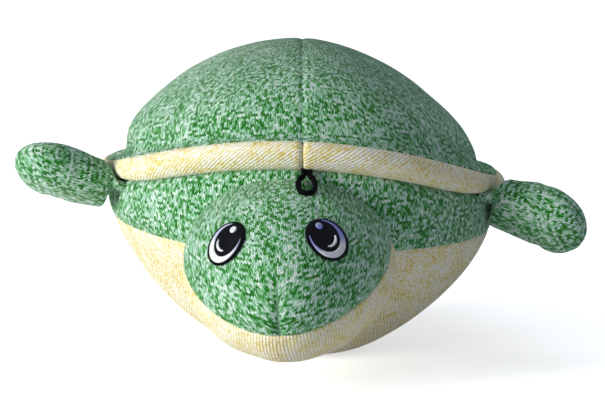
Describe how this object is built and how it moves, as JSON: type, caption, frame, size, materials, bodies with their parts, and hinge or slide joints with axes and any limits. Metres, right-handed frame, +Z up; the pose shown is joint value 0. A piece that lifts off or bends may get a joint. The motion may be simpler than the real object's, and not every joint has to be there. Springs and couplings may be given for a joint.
{
  "type": "plush turtle",
  "caption": "Ball-shaped knit plush turtle with a domed shell, rolled rim band, stuffed head, flippers and tail that flap on sewn roots, and a cord loop under the band.",
  "frame": {"origin": "middle of the flat on the belly that the toy rests on", "axes": "+X towards the turtle's left, +Y towards its tail, +Z up to the top of the shell"},
  "size_m": [0.1762, 0.1715, 0.0995],
  "materials": {
    "green_knit": "brushed marl sweater knit",
    "yellow_knit": "brushed marl sweater knit",
    "black_thread": "satin-stitch embroidery",
    "white_thread": "satin-stitch embroidery",
    "black_cord": "round braided cord",
    "stuffing": "loose polyester fibre"
  },
  "bodies": {
    "body": {"shell_gore_front_left": "green_knit", "shell_gore_front_right": "green_knit", "shell_gore_rear_left": "green_knit", "shell_gore_rear_right": "green_knit", "body_side_left": "green_knit", "body_side_right": "green_knit", "head_crown": "green_knit", "shell_band_left": "yellow_knit", "shell_band_right": "yellow_knit", "belly_panel": "yellow_knit", "head_chin": "yellow_knit", "body_stuffing": "stuffing", "head_stuffing": "stuffing", "eye_patch_left": "black_thread", "eye_white_left": "white_thread", "eye_highlight_left": "white_thread", "eye_curl_left": "white_thread", "eye_patch_right": "black_thread", "eye_white_right": "white_thread", "eye_highlight_right": "white_thread", "eye_curl_right": "white_thread"},
    "hang_loop": {"hang_loop": "black_cord"},
    "front_flipper_left": {"front_flipper_left_upper": "green_knit", "front_flipper_left_lower": "green_knit", "front_flipper_left_stuffing": "stuffing"},
    "front_flipper_right": {"front_flipper_right_upper": "green_knit", "front_flipper_right_lower": "green_knit", "front_flipper_right_stuffing": "stuffing"},
    "rear_flipper_left": {"rear_flipper_left_upper": "green_knit", "rear_flipper_left_lower": "green_knit", "rear_flipper_left_stuffing": "stuffing"},
    "rear_flipper_right": {"rear_flipper_right_upper": "green_knit", "rear_flipper_right_lower": "green_knit", "rear_flipper_right_stuffing": "stuffing"},
    "tail": {"tail_upper": "green_knit", "tail_lower": "green_knit", "tail_stuffing": "stuffing"}
  },
  "joints": [
    {"name": "front_flipper_left_flap", "type": "hinge", "parent": "body", "child": "front_flipper_left", "pos_m": [0.06015, -0.02035, 0.05132], "axis": [-0.3314, -0.9314, 0.1503], "range_deg": [-45, 45], "stiffness_Nm_per_rad": 0.01},
    {"name": "front_flipper_right_flap", "type": "hinge", "parent": "body", "child": "front_flipper_right", "pos_m": [-0.06016, -0.02032, 0.05578], "axis": [-0.3326, 0.9347, -0.1251], "range_deg": [-75, 8], "stiffness_Nm_per_rad": 0.01},
    {"name": "rear_flipper_left_flap", "type": "hinge", "parent": "body", "child": "rear_flipper_left", "pos_m": [0.03768, 0.05051, 0.04731], "axis": [0.8176, -0.5749, -0.0316], "range_deg": [-60, 45], "stiffness_Nm_per_rad": 0.006},
    {"name": "rear_flipper_right_flap", "type": "hinge", "parent": "body", "child": "rear_flipper_right", "pos_m": [-0.03783, 0.05041, 0.05009], "axis": [0.8176, 0.5749, -0.0316], "range_deg": [-60, 45], "stiffness_Nm_per_rad": 0.006},
    {"name": "tail_flap", "type": "hinge", "parent": "body", "child": "tail", "pos_m": [-0.00011, 0.06233, 0.0487], "axis": [0.9993, 0, -0.0387], "range_deg": [-60, 50], "stiffness_Nm_per_rad": 0.003},
    {"name": "hang_loop_swing", "type": "hinge", "parent": "body", "child": "hang_loop", "pos_m": [0.00126, -0.06112, 0.0638], "axis": [-0.9986, -0.0202, 0.0479], "range_deg": [0, 75]}
  ]
}
